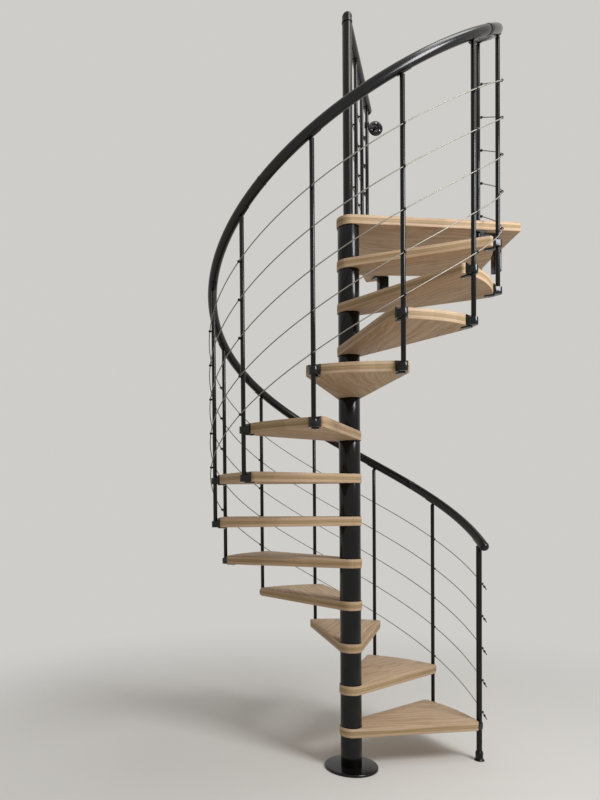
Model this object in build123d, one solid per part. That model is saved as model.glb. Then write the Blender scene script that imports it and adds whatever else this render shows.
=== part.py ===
from build123d import *
import math
import os

os.makedirs("parts", exist_ok=True)

# Spiral stair with a round column, wedge treads, a landing and a cable balustrade.
# Millimetres. Z is up, the origin is the centre of the base disc's underside,
# and +X runs through the first post. The flight climbs anticlockwise seen from above.

# flight
rise = 211.5
tread_count = 12
step_angle = 30.0
landing_top = rise * (tread_count + 1)
landing_rail_height = 965.0
landing_rail_z = landing_top + landing_rail_height

# column
base_radius = 135.0
base_thickness = 8.0
base_cover_radius = 131.0
base_cover_height = 13.0
base_bevel = 4.0
mast_radius = 24.0
cap_overhang = 0.6
cap_rim_height = 1.5
cap_clearance = 1.0
spacer_radius = 52.5
ring_radius = 54.5
ring_thickness = 2.5
core_clearance = 0.3
socket_wall = 7.0
socket_height = 10.0

# treads
tread_thickness = 45.0
tread_outer_radius = 661.0
tread_inner_radius = 57.5
tread_overlap = 3.4
tread_corner_radius = 15.0

# balustrade of the flight
baluster_standoff = 19.0
baluster_circle = tread_outer_radius + baluster_standoff
baluster_radius = 10.0
first_post_radius = 14.0
foot_height = 45.0
foot_radius = 23.0
foot_plate_thickness = 4.0
foot_wall = 3.5
rail_radius = 22.5
rail_height = 932.0
rail_start_angle = -4.5
rail_end_angle = 364.0
rail_joint_angles = [41.0, 130.8, 220.6, 310.4]
rail_collar_radius = 23.7
rail_joint_ring_length = 7.0
rail_collar_length = 4.0
saddle_height = 16.0
saddle_collar_height = 4.0
saddle_neck_share = 0.6

# cables
cable_count = 5
cable_spacing = 166.0
cable_drop = 230.5
cable_radius = 2.5
cable_offset = 18.0
eye_radius = 7.0
eye_length = 7.0
eye_hole_radius = 3.4
eye_stem_width = 5.0
end_nut_length = 12.0
end_nut_radius = 5.0
end_tail_length = 20.0

# clamps that tie the balusters to the treads
plate_width = 52.0
plate_thickness = 5.0
sleeve_radius = 18.0
sleeve_drop = 14.0
sleeve_clearance = 0.3
tab_thickness = 5.0
tab_depth = 30.0
tab_width = 28.0
cup_floor = 6.0
seat_gap = 0.3

# landing
landing_front_corner = (889.0, -33.0)
landing_right_lean = 82.0
landing_back = 600.0
landing_tongue = [(361.0, 765.0), (432.0, 733.0), (458.0, 632.0)]
landing_rail_angle = 63.0
landing_rail_reach = 777.0
landing_baluster_reach = [276.0, 500.0, 720.0]
landing_cable_drop = 183.0
landing_foot_radius = 22.0
landing_foot_height = 26.0
foot_sleeve_wall = 4.5
landing_foot_thickness = 4.0
post_plate_thickness = 5.0
post_plate_reach = 28.0
post_plate_arm = 125.0
post_plate_arm_width = 44.0

# wall fixings
rosette_radius = 45.0
rosette_thickness = 8.0
rosette_drop = 68.0
rosette_centre = (421.0, 745.0, landing_rail_z - rosette_drop)
rosette_arm_radius = 7.0
rosette_arm_drop = 47.0
rosette_sleeve_height = 30.0
bracket_flange_width = 90.0
bracket_leg_width = 56.0
bracket_depth = 54.0
bracket_leg_height = 95.0
bracket_wall = 6.0
back_bracket_place = (372.0, 648.0)
side_bracket_run = 287.0
side_bracket_depth = 38.0
side_bracket_height = 115.0

# helpers


def polar(radius, angle):
    """A point on a circle about the column, in degrees from +X."""
    turn = math.radians(angle)
    return (radius * math.cos(turn), radius * math.sin(turn))


def tube_between(start, end, radius):
    """A round bar from one point to another."""
    axis = Vector(*end) - Vector(*start)
    place = Plane(origin=Vector(*start), z_dir=axis)
    return place * Cylinder(radius, axis.length, align=(Align.CENTER, Align.CENTER, Align.MIN))


def at_angle(shape, angle, height=0.0):
    """Turns a shape modelled at +X about the column, and lifts it."""
    return Pos(0, 0, height) * Rot(0, 0, angle) * shape


def save(shape, node):
    """Writes one named node."""
    export_step(shape, "parts/" + node + ".step")


def rail_z(angle):
    """Height of the rail's centre line over the floor."""
    return rise + rail_height + rise * angle / step_angle


def cable_z(index, angle):
    """Height of a cable's centre line over the floor."""
    return rail_z(angle) - cable_drop - cable_spacing * index


def climb_path(radius, start_angle, end_angle, start_z):
    """A helix about the column that climbs one rise for each step angle."""
    turn = end_angle - start_angle
    pitch = rise * 360.0 / step_angle
    line = Helix(pitch=pitch, height=pitch * turn / 360.0, radius=radius)
    return Pos(0, 0, start_z) * Rot(0, 0, start_angle) * line


def swept_round(radius, path):
    """A round bar along a path."""
    start = Plane(origin=path @ 0, z_dir=path % 0)
    return sweep(start * Circle(radius), path=path, is_frenet=True)


def swept_facets(radius, path, sides):
    """A bar with a regular section along a path."""
    start = Plane(origin=path @ 0, z_dir=path % 0)
    return sweep(start * RegularPolygon(radius, sides), path=path, is_frenet=True)


# column: base disc, mast, spacers and rings

base = Cylinder(base_radius, base_thickness, align=(Align.CENTER, Align.CENTER, Align.MIN))
base += Pos(0, 0, base_thickness) * Cone(
    base_cover_radius,
    base_cover_radius - base_bevel,
    base_cover_height - base_thickness,
    align=(Align.CENTER, Align.CENTER, Align.MIN),
)
save(base, "base_disc")

mast_top = landing_rail_z + rail_radius + cap_clearance
mast = Pos(0, 0, base_cover_height) * Cylinder(
    mast_radius, mast_top - base_cover_height, align=(Align.CENTER, Align.CENTER, Align.MIN)
)
save(mast, "mast")

cap_rim = Pos(0, 0, mast_top) * Cylinder(
    mast_radius + cap_overhang, cap_rim_height, align=(Align.CENTER, Align.CENTER, Align.MIN)
)
cap_dome = Pos(0, 0, mast_top + cap_rim_height) * Sphere(
    mast_radius, arc_size1=0, align=(Align.CENTER, Align.CENTER, Align.MIN)
)
save(cap_rim + cap_dome, "mast_cap")


def column_piece(radius, low, high):
    """A tube round the mast between two heights."""
    tube = Cylinder(radius, high - low, align=(Align.CENTER, Align.CENTER, Align.MIN))
    tube -= Cylinder(
        mast_radius + core_clearance, high - low, align=(Align.CENTER, Align.CENTER, Align.MIN)
    )
    return Pos(0, 0, low) * tube


spacers = []
rings = []
for number in range(1, tread_count + 2):
    under_tread = rise * number - tread_thickness
    below = base_cover_height if number == 1 else rise * (number - 1) + ring_thickness
    spacers.append(column_piece(spacer_radius, below, under_tread - ring_thickness))
    rings.append(column_piece(ring_radius, under_tread - ring_thickness, under_tread))
    if number <= tread_count:
        rings.append(column_piece(ring_radius, rise * number, rise * number + ring_thickness))
rings.append(column_piece(mast_radius + socket_wall, landing_top, landing_top + socket_height))
save(Compound(children=spacers), "column_spacers")
save(Compound(children=rings), "column_rings")

# treads


def tangent_edge(corner, side):
    """Where a line from an outer corner touches the round inner end."""
    distance = math.hypot(corner[0], corner[1])
    swing = math.degrees(math.acos(tread_inner_radius / distance))
    heading = math.degrees(math.atan2(corner[1], corner[0]))
    return polar(tread_inner_radius, heading + side * swing)


def tread_outline():
    """The wedge in plan: its front edge lies along +X."""
    front = polar(tread_outer_radius, -tread_overlap)
    rear = polar(tread_outer_radius, step_angle + tread_overlap)
    middle = polar(tread_outer_radius, step_angle / 2)
    inner_middle = polar(tread_inner_radius, 180 + step_angle / 2)
    front_touch = tangent_edge(front, -1)
    rear_touch = tangent_edge(rear, 1)
    edges = [
        Line(front_touch, front),
        ThreePointArc(front, middle, rear),
        Line(rear, rear_touch),
        ThreePointArc(rear_touch, inner_middle, front_touch),
    ]
    return make_face(edges)


wedge = extrude(tread_outline(), tread_thickness)
outer_corners = wedge.edges().filter_by(Axis.Z).filter_by(
    lambda edge: math.hypot(edge.center().X, edge.center().Y) > tread_outer_radius / 2
)
wedge = fillet(outer_corners, tread_corner_radius)
wedge -= Cylinder(
    mast_radius + core_clearance, tread_thickness, align=(Align.CENTER, Align.CENTER, Align.MIN)
)
for number in range(1, tread_count + 1):
    tread = at_angle(wedge, step_angle * (number - 1), rise * number - tread_thickness)
    save(tread, "tread_%02d" % number)

# landing: round inner end, straight front, right side leaning out, tongue at the back left


def upright_bore(place, radius):
    """A hole through the landing for an upright."""
    hole = Cylinder(
        radius + sleeve_clearance, tread_thickness, align=(Align.CENTER, Align.CENTER, Align.MIN)
    )
    return Pos(place[0], place[1], 0) * hole


side_run = (landing_back - landing_front_corner[1]) / math.tan(math.radians(landing_right_lean))
back_right = (landing_front_corner[0] + side_run, landing_back)
front_touch = tangent_edge(landing_front_corner, -1)
left_touch = tangent_edge(landing_tongue[0], 1)
landing_edges = [
    Line(front_touch, landing_front_corner),
    Line(landing_front_corner, back_right),
    Line(back_right, landing_tongue[2]),
    Line(landing_tongue[2], landing_tongue[1]),
    Line(landing_tongue[1], landing_tongue[0]),
    Line(landing_tongue[0], left_touch),
    ThreePointArc(left_touch, polar(tread_inner_radius, 212), front_touch),
]
landing = extrude(make_face(landing_edges), tread_thickness)
landing -= Cylinder(
    mast_radius + core_clearance, tread_thickness, align=(Align.CENTER, Align.CENTER, Align.MIN)
)
landing -= upright_bore((baluster_circle, 0), baluster_radius)
save(Pos(0, 0, landing_top - tread_thickness) * landing, "landing")

# first post with its foot, and the thin balusters


def upright_top(angle):
    """Height at which an upright stops under the rail, with room for its saddle."""
    return rail_z(angle) - rail_radius - saddle_height


post_low = foot_plate_thickness + seat_gap
first_post = Pos(baluster_circle, 0, post_low) * Cylinder(
    first_post_radius, upright_top(0) - post_low, align=(Align.CENTER, Align.CENTER, Align.MIN)
)
save(first_post, "first_post")

foot_neck = first_post_radius + foot_wall
foot_profile = make_face(
    Polyline(
        (0, 0),
        (foot_radius, 0),
        (foot_radius, foot_plate_thickness),
        (foot_neck, 3 * foot_plate_thickness),
        (foot_neck, foot_height - foot_plate_thickness),
        (first_post_radius + foot_wall / 2, foot_height),
        (0, foot_height),
        close=True,
    )
)
foot = revolve(Plane.XZ * foot_profile, Axis.Z)
foot -= Pos(0, 0, foot_plate_thickness) * Cylinder(
    first_post_radius + seat_gap, foot_height, align=(Align.CENTER, Align.CENTER, Align.MIN)
)
save(Pos(baluster_circle, 0, 0) * foot, "first_post_foot")

balusters = []
for number in range(2, tread_count + 2):
    angle = step_angle * (number - 1)
    low = rise * (number - 1) - tread_thickness + cup_floor
    bar = Pos(baluster_circle, 0, 0) * Cylinder(
        baluster_radius, upright_top(angle) - low, align=(Align.CENTER, Align.CENTER, Align.MIN)
    )
    balusters.append(at_angle(bar, angle, low))
save(Compound(children=balusters), "balusters")

# clamps: a plate on the tread's outer edge, a body round the upright and a tab under the tread

plate_face = tread_outer_radius + seat_gap


def clamp_body():
    """Plan shape shared by clamps and cups, as tall as the tread is thick, with a sloping top."""
    outline = [
        (plate_face, -plate_width / 2),
        (plate_face + plate_thickness, -plate_width / 2),
        (baluster_circle, -sleeve_radius),
        (baluster_circle, sleeve_radius),
        (plate_face + plate_thickness, plate_width / 2),
        (plate_face, plate_width / 2),
    ]
    body = extrude(make_face(Polyline(*outline, close=True)), tread_thickness)
    body += Pos(baluster_circle, 0, 0) * Cylinder(
        sleeve_radius, tread_thickness, align=(Align.CENTER, Align.CENTER, Align.MIN)
    )
    slope = Polyline(
        (plate_face + plate_thickness, tread_thickness),
        (baluster_circle + 2 * sleeve_radius, tread_thickness),
        (baluster_circle + 2 * sleeve_radius, tread_thickness - sleeve_drop),
        (baluster_circle - baluster_radius / 2, tread_thickness - sleeve_drop),
        close=True,
    )
    cut = extrude(Plane.XZ * make_face(slope), amount=plate_width, both=True)
    body -= cut
    edge = Cylinder(plate_face, tread_thickness, align=(Align.CENTER, Align.CENTER, Align.MIN))
    return body - edge


def clamp_tab():
    """The tab under the tread, rounded at its inner end."""
    tab = Box(tab_depth, tab_width, tab_thickness, align=(Align.MIN, Align.CENTER, Align.MAX))
    tab += Cylinder(tab_width / 2, tab_thickness, align=(Align.CENTER, Align.CENTER, Align.MAX))
    return Pos(plate_face - tab_depth + plate_thickness, 0, 0) * tab


def front_clamp(upright_radius):
    """The clamp on a tread's front corner: the upright passes through it."""
    body = clamp_body() + clamp_tab()
    bore = Pos(baluster_circle, 0, -tab_thickness) * Cylinder(
        upright_radius + sleeve_clearance,
        tread_thickness + 2 * tab_thickness,
        align=(Align.CENTER, Align.CENTER, Align.MIN),
    )
    return body - bore


def rear_cup():
    """The cup on a tread's rear corner: the upright ends in it."""
    body = clamp_body() + clamp_tab()
    bore = Pos(baluster_circle, 0, cup_floor) * Cylinder(
        baluster_radius + sleeve_clearance,
        tread_thickness,
        align=(Align.CENTER, Align.CENTER, Align.MIN),
    )
    return body - bore


clamps = [at_angle(front_clamp(first_post_radius), 0, rise - tread_thickness)]
cups = []
for number in range(2, tread_count + 2):
    angle = step_angle * (number - 1)
    if number <= tread_count:
        clamp = front_clamp(baluster_radius)
        clamps.append(at_angle(clamp, angle, rise * number - tread_thickness))
    cups.append(at_angle(rear_cup(), angle, rise * (number - 1) - tread_thickness))
save(Compound(children=clamps), "front_clamps")
save(Compound(children=cups), "rear_cups")

# handrail: five stretches of one helix, a collar at each joint and a cap at each end


def rail_stretch(radius, start_angle, end_angle):
    """A stretch of the rail's helix between two angles."""
    return swept_round(
        radius, climb_path(baluster_circle, start_angle, end_angle, rail_z(start_angle))
    )


def rail_cap(angle, outward):
    """A rounded cap with a thin collar, on the rail's end at an angle."""
    path = climb_path(baluster_circle, angle, angle + 1, rail_z(angle))
    profile = Polyline(
        (0, 0),
        (rail_collar_radius, 0),
        (rail_collar_radius, rail_collar_length),
        (rail_radius, rail_collar_length),
    )
    dome = CenterArc((0, rail_collar_length), rail_radius, 0, 90)
    closing = Line((0, rail_radius + rail_collar_length), (0, 0))
    cap = revolve(Plane.XZ * make_face(Wire([*profile.edges(), dome, closing])), Axis.Z)
    return Plane(origin=path @ 0, z_dir=(path % 0) * outward) * cap


joint_half = math.degrees(rail_joint_ring_length / 2 / math.hypot(
    baluster_circle, math.degrees(rise / step_angle)
))
rail_stops = [rail_start_angle]
joints = []
for angle in rail_joint_angles:
    rail_stops += [angle - joint_half, angle + joint_half]
    joints.append(rail_stretch(rail_collar_radius, angle - joint_half, angle + joint_half))
rail_stops.append(rail_end_angle)
stretches = []
for low_stop, high_stop in zip(rail_stops[0::2], rail_stops[1::2]):
    stretches.append(rail_stretch(rail_radius, low_stop, high_stop))
save(Compound(children=stretches), "handrail")
save(Compound(children=joints), "rail_joint_rings")
caps = [rail_cap(rail_start_angle, -1), rail_cap(rail_end_angle, 1)]
save(Compound(children=caps), "rail_end_caps")


def nearest_stretch(angle):
    """The stretch of rail over an upright."""
    for number, stop in enumerate(rail_stops[1::2]):
        if angle < stop:
            return stretches[number]
    return stretches[-1]


# saddles: a collar on each upright and a neck that meets the rail


def saddle(upright_radius):
    """A saddle on an upright that ends at the origin, tall enough to be cut by the rail."""
    collar = Cylinder(
        upright_radius, saddle_collar_height, align=(Align.CENTER, Align.CENTER, Align.MIN)
    )
    neck = Cylinder(
        upright_radius * saddle_neck_share,
        saddle_height + rail_radius,
        align=(Align.CENTER, Align.CENTER, Align.MIN),
    )
    return collar + neck


saddles = []
for number in range(1, tread_count + 2):
    angle = step_angle * (number - 1)
    thick = first_post_radius if number == 1 else baluster_radius
    piece = Pos(baluster_circle, 0, upright_top(angle)) * saddle(thick)
    saddles.append(at_angle(piece, angle) - nearest_stretch(angle))

# cables: each runs from the first post to the last upright, with an eye at every upright

cable_circle = baluster_circle + cable_offset


def eye_ring():
    """An eye with its hole along +Y, big enough for the cable."""
    ring = extrude(RegularPolygon(eye_radius, 6) - RegularPolygon(eye_hole_radius, 6), eye_length)
    return Rot(90, 0, 0) * Pos(0, 0, -eye_length / 2) * ring


def upright_eye(radius, reach, slope):
    """An eye beside a round upright that stands at the origin."""
    stem = Box(reach - eye_hole_radius, eye_stem_width, eye_stem_width,
               align=(Align.MIN, Align.CENTER, Align.CENTER))
    piece = Pos(reach, 0, 0) * Rot(slope, 0, 0) * eye_ring() + stem
    return piece - Cylinder(radius, 8 * eye_radius)


def end_fitting(heading, slope):
    """A nut and a short cable tail beyond an end upright, with the cable along +Y at the origin."""
    nut = Rot(90, 0, 0) * extrude(RegularPolygon(end_nut_radius, 6), end_nut_length)
    tail = Rot(90, 0, 0) * Cylinder(
        cable_radius, end_tail_length, align=(Align.CENTER, Align.CENTER, Align.MIN)
    )
    piece = nut + Pos(0, -end_nut_length, 0) * tail
    return Rot(slope, 0, 0) * Rot(0, 0, heading) * piece


flight_slope = math.degrees(math.atan2(rise, math.radians(step_angle) * cable_circle))
first_eye = upright_eye(first_post_radius, cable_offset, flight_slope)
baluster_eye = upright_eye(baluster_radius, cable_offset, flight_slope)
nut_offset = first_post_radius + 1
low_angle = -math.degrees(nut_offset / cable_circle)
high_angle = 360 + math.degrees(nut_offset / cable_circle)
eyes = []
fittings = []
for index in range(cable_count):
    path = climb_path(cable_circle, low_angle, high_angle, cable_z(index, low_angle))
    save(swept_facets(cable_radius, path, 6), "cable_%d" % (index + 1))
    low_end = Pos(cable_circle, 0, 0) * end_fitting(0, flight_slope)
    high_end = Pos(cable_circle, 0, 0) * end_fitting(180, flight_slope)
    fittings.append(at_angle(low_end, low_angle, cable_z(index, low_angle)))
    fittings.append(at_angle(high_end, high_angle, cable_z(index, high_angle)))
    for number in range(1, tread_count + 2):
        angle = step_angle * (number - 1)
        part = first_eye if number == 1 else baluster_eye
        part = Pos(baluster_circle, 0, 0) * part
        eyes.append(at_angle(part, angle, cable_z(index, angle)))
save(Compound(children=eyes), "cable_eyes")
save(Compound(children=fittings), "cable_end_fittings")

# landing balustrade: straight rail from the mast, three uprights and five straight cables


def along(reach, aside, height):
    """A point along the landing rail's line, with an offset to its outer side."""
    start = polar(reach, landing_rail_angle)
    shift = polar(aside, landing_rail_angle + 90)
    return (start[0] + shift[0], start[1] + shift[1], height)


landing_rail = tube_between(
    along(0, 0, landing_rail_z),
    along(landing_rail_reach, 0, landing_rail_z),
    rail_radius,
)
rail_end = Pos(*along(landing_rail_reach, 0, landing_rail_z)) * Sphere(rail_radius)
landing_rail = (landing_rail + rail_end) - mast
save(landing_rail, "landing_rail")

uprights = []
feet = []
landing_eyes = []
upright_low = landing_top + landing_foot_thickness + seat_gap
upright_high = landing_rail_z - rail_radius - saddle_height
for reach in landing_baluster_reach:
    place = along(reach, 0, 0)
    bar = Cylinder(
        baluster_radius, upright_high - upright_low, align=(Align.CENTER, Align.CENTER, Align.MIN)
    )
    uprights.append(Pos(place[0], place[1], upright_low) * bar)
    saddles.append(Pos(place[0], place[1], upright_high) * saddle(baluster_radius) - landing_rail)
    foot = Cylinder(
        landing_foot_radius, landing_foot_thickness, align=(Align.CENTER, Align.CENTER, Align.MIN)
    )
    foot += Cylinder(
        baluster_radius + foot_sleeve_wall,
        landing_foot_height,
        align=(Align.CENTER, Align.CENTER, Align.MIN),
    )
    foot -= Pos(0, 0, landing_foot_thickness) * Cylinder(
        baluster_radius + sleeve_clearance,
        landing_foot_height,
        align=(Align.CENTER, Align.CENTER, Align.MIN),
    )
    feet.append(Pos(place[0], place[1], landing_top) * foot)
save(Compound(children=uprights), "landing_balusters")
save(Compound(children=feet), "landing_feet")
save(Compound(children=saddles), "rail_saddles")

landing_cables = []
landing_fittings = []
landing_eye = Rot(0, 0, landing_rail_angle + 90) * upright_eye(baluster_radius, cable_offset, 0)
cable_start = math.sqrt(mast_radius ** 2 - cable_offset ** 2) + end_nut_length / 2
cable_finish = landing_baluster_reach[-1] + nut_offset
cable_room = landing_rail_height - landing_cable_drop - landing_foot_height - eye_length
landing_cable_count = 1 + int(cable_room // cable_spacing)
for index in range(landing_cable_count):
    level = landing_rail_z - landing_cable_drop - cable_spacing * index
    start = along(cable_start, cable_offset, level)
    finish = along(cable_finish, cable_offset, level)
    landing_cables.append(tube_between(start, finish, cable_radius))
    nut = tube_between(along(0, cable_offset, level), start, end_nut_radius)
    landing_fittings.append(nut - mast)
    end = Rot(0, 0, landing_rail_angle - 90) * end_fitting(180, 0)
    landing_fittings.append(Pos(*finish) * end)
    for reach in landing_baluster_reach:
        landing_eyes.append(Pos(*along(reach, 0, level)) * landing_eye)
save(Compound(children=landing_cables), "landing_cables")
save(Compound(children=landing_eyes), "landing_eyes")
save(Compound(children=landing_fittings), "landing_end_fittings")

# wall rosette: an arm from the last upright of the landing to a round plate on the wall

arm_start = along(landing_baluster_reach[-1], 0, rosette_centre[2] - rosette_arm_drop)
arm = tube_between(arm_start, rosette_centre, rosette_arm_radius)
arm += Pos(*arm_start) * Cylinder(baluster_radius + foot_sleeve_wall, rosette_sleeve_height)
arm -= Pos(*arm_start) * Cylinder(baluster_radius + sleeve_clearance, 2 * rosette_sleeve_height)
plate = Pos(*rosette_centre) * Rot(-90, 0, 0) * Cylinder(
    rosette_radius, rosette_thickness, align=(Align.CENTER, Align.CENTER, Align.MIN)
)
save(arm + plate, "wall_rosette")

# plate under the landing's front corner: the last upright ends in it, and its arm runs outwards


def post_plate():
    """A flat plate round the last upright with its arm along +X, and its top at z = 0."""
    plate = Pos(baluster_circle, 0, 0) * Box(
        2 * post_plate_reach,
        2 * post_plate_reach,
        post_plate_thickness,
        align=(Align.CENTER, Align.CENTER, Align.MAX),
    )
    plate += Pos(baluster_circle, 0, 0) * Box(
        post_plate_arm,
        post_plate_arm_width,
        post_plate_thickness,
        align=(Align.MIN, Align.MIN, Align.MAX),
    )
    bore = Pos(baluster_circle, 0, -post_plate_thickness) * Cylinder(
        baluster_radius + sleeve_clearance,
        post_plate_thickness,
        align=(Align.CENTER, Align.CENTER, Align.MIN),
    )
    return plate - bore


save(Pos(0, 0, landing_top - tread_thickness) * post_plate(), "landing_post_plate")

# landing brackets: hollow legs that carry the landing at the back and at the right side


def bracket_leg(depth, height):
    """A hollow leg, open at the bottom, with its wall face at y = depth and its top at z = 0."""
    outer = Box(bracket_leg_width, depth, height, align=(Align.MIN, Align.MIN, Align.MAX))
    inner = Box(
        bracket_leg_width - 2 * bracket_wall,
        depth - 2 * bracket_wall,
        height - bracket_wall,
        align=(Align.MIN, Align.MIN, Align.MAX),
    )
    return outer - Pos(bracket_wall, bracket_wall, -bracket_wall) * inner


flange = Box(
    bracket_flange_width, bracket_depth, bracket_wall, align=(Align.MIN, Align.MIN, Align.MAX)
)
leg_shift = bracket_flange_width - bracket_leg_width
back_bracket = flange + Pos(leg_shift, 0, 0) * bracket_leg(bracket_depth, bracket_leg_height)
back_bracket = Pos(back_bracket_place[0], back_bracket_place[1], 0) * back_bracket
side_turn = landing_right_lean - 90
side_place = (
    landing_front_corner[0] - side_bracket_run * math.tan(math.radians(side_turn)),
    landing_front_corner[1] + side_bracket_run,
)
side_leg = bracket_leg(side_bracket_depth, side_bracket_height)
side_leg = Rot(0, 0, side_turn - 90) * Pos(0, -side_bracket_depth, 0) * side_leg
side_bracket = Pos(side_place[0], side_place[1], 0) * side_leg
brackets = Compound(children=[back_bracket, side_bracket])
save(Pos(0, 0, landing_top - tread_thickness) * brackets, "landing_brackets")
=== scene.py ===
import math
from functools import partial

import bmesh
import bpy
from mathutils import Euler, Matrix, Vector


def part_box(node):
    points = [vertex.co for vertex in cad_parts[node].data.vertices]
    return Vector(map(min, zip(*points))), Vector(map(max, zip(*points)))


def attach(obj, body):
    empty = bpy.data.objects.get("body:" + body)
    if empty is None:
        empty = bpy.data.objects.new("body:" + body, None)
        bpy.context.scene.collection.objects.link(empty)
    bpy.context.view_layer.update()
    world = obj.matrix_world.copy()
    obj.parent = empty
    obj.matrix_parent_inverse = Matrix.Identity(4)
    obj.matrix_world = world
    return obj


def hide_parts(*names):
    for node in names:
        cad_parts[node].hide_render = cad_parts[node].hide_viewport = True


bl_info = {
    "name": "Spiral stair with cable balustrade",
    "version": (1, 0, 0),
    "blender": (4, 5, 0),
    "location": "3D View > Sidebar > Stair",
    "description": "Models the visible pieces of a spiral stair round its packed solids",
    "category": "Add Mesh",
}

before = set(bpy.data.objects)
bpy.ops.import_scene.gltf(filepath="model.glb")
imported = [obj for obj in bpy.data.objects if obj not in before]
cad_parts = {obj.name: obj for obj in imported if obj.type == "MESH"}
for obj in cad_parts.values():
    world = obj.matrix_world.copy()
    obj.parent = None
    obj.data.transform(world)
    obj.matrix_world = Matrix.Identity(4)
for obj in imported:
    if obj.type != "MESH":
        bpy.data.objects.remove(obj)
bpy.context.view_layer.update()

# Metres. Z is up, the column stands on the origin and the first post is on +X.
# The flight climbs anticlockwise seen from above.

TREADS = 12
CABLES = 5
RAIL_JOINTS = (41.0, 130.8, 220.6, 310.4)
LANDING_REACHES = (0.276, 0.500, 0.720)
TONGUE = ((0.361, 0.765), (0.432, 0.733), (0.458, 0.632))
ROSETTE = (0.421, 0.745)
ROSETTE_HEIGHT = 0.897
ROSETTE_ARM_DROP = 0.047
BACK_BRACKET = (0.372, 0.648)
SIDE_BRACKET_RUN = 0.287
LEG_WIDTH = 0.056
# gap between a bar and the hole that it stands in
CLEARANCE = 0.0003
# distance by which a cable passes the side of the last upright
CABLE_REACH = 0.001
# a cup's floor, on which a thin upright stands
CUP_FLOOR = 0.006
# a landing cable's socket in the mast, inside and outside of the tube
SOCKET_DEPTH = 0.008
SOCKET_REACH = 0.006
# the column's axis in plan, the centre of most arcs
AXIS = (0.0, 0.0)
SMOOTH = math.radians(35)

OAK = "lacquered_oak"
COAT = "black_powder_coat"
CAST = "black_cast_clamp"
SHEATH = "black_rail_sheath"
ROPE = "wire_rope"
SCREW = "bright_screw"

# the camera's turn is in degrees about X, Y and Z
CAMERA_PLACE = (-1.0193, -3.1332, 1.3462)
CAMERA_TURN = (88.8509, 0.5926, -5.8776)
CAMERA_SHIFT = (0.1102, 0.1442)
KEY_WAY = (-0.478, 0.569, -0.669)
WINDOW_PLACE = (1.8, -2.2, 3.4)
WINDOW_AIM = (0.35, -0.2, 2.6)
WINDOW_TINT = (0.93, 0.965, 1.0)
CEILING_PLACE = (1.4, -1.2, 5.7)


def linear(code):
    """A colour written as sRGB hex, turned to linear values."""
    shades = [int(code[place:place + 2], 16) / 255 for place in (1, 3, 5)]
    curve = [v / 12.92 if v <= 0.04045 else ((v + 0.055) / 1.055) ** 2.4 for v in shades]
    return (*curve, 1.0)


def metres(name, description, default):
    """A size in metres."""
    return bpy.props.FloatProperty(
        name=name, description=description, default=default, unit="LENGTH", precision=4
    )


def degrees(name, description, default):
    """An angle, kept in radians."""
    return bpy.props.FloatProperty(
        name=name, description=description, default=math.radians(default), unit="ROTATION"
    )


def painted(name, description, code):
    """A colour with its default from a hex code."""
    return bpy.props.FloatVectorProperty(
        name=name, description=description, default=linear(code), size=4,
        min=0.0, max=1.0, subtype="COLOR",
    )


def plain(name, description, default):
    """A number without a unit."""
    return bpy.props.FloatProperty(name=name, description=description, default=default)


tread_low, tread_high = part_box("tread_01")
landing_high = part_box("landing")[1]
base_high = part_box("base_disc")[1]
mast_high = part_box("mast")[1]
post_low, post_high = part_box("first_post")
landing_rail_low, landing_rail_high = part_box("landing_rail")


class FlightSizes(bpy.types.PropertyGroup):
    """Sizes of the treads and the landing"""

    rise: metres("Rise", "Height from one tread to the next", tread_high.z)
    step_angle: degrees("Step angle", "Turn from one tread to the next", 30.0)
    thickness: metres("Thickness", "Thickness of treads and landing", tread_high.z - tread_low.z)
    outer_radius: metres("Outer radius", "Radius of a tread's outer edge", 0.661)
    hub_radius: metres("Hub radius", "Radius of a tread's round inner end", 0.0575)
    overlap: degrees("Overlap", "How far a tread reaches past its step", 3.4)
    corner_cut: metres("Corner", "Distance at which outer corners turn", 0.0137)
    rounding: metres("Rounding", "Radius of the wood's upper and lower rims", 0.0025)
    front_corner: bpy.props.FloatVectorProperty(
        name="Front corner", description="Front right corner of the landing in plan",
        default=(0.889, -0.033), size=2, unit="LENGTH",
    )
    right_lean: degrees("Right side", "Direction of the landing's right side", 82.0)
    back: metres("Back", "Distance of the landing's back edge", 0.600)


class ColumnSizes(bpy.types.PropertyGroup):
    """Sizes of the column"""

    base_radius: metres("Base radius", "Radius of the disc on the floor", base_high.x)
    base_height: metres("Base height", "Height of the disc with its cover", base_high.z)
    mast_radius: metres("Mast radius", "Radius of the tube in the middle", mast_high.x)
    mast_top: metres("Mast top", "Height of the tube over the floor", mast_high.z)
    spacer_radius: metres(
        "Spacer radius", "Radius of the sleeves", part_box("column_spacers")[1].x
    )
    ring_radius: metres("Ring radius", "Radius of the thin rings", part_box("column_rings")[1].x)
    ring_height: metres("Ring height", "Height of a thin ring", 0.0025)


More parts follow.
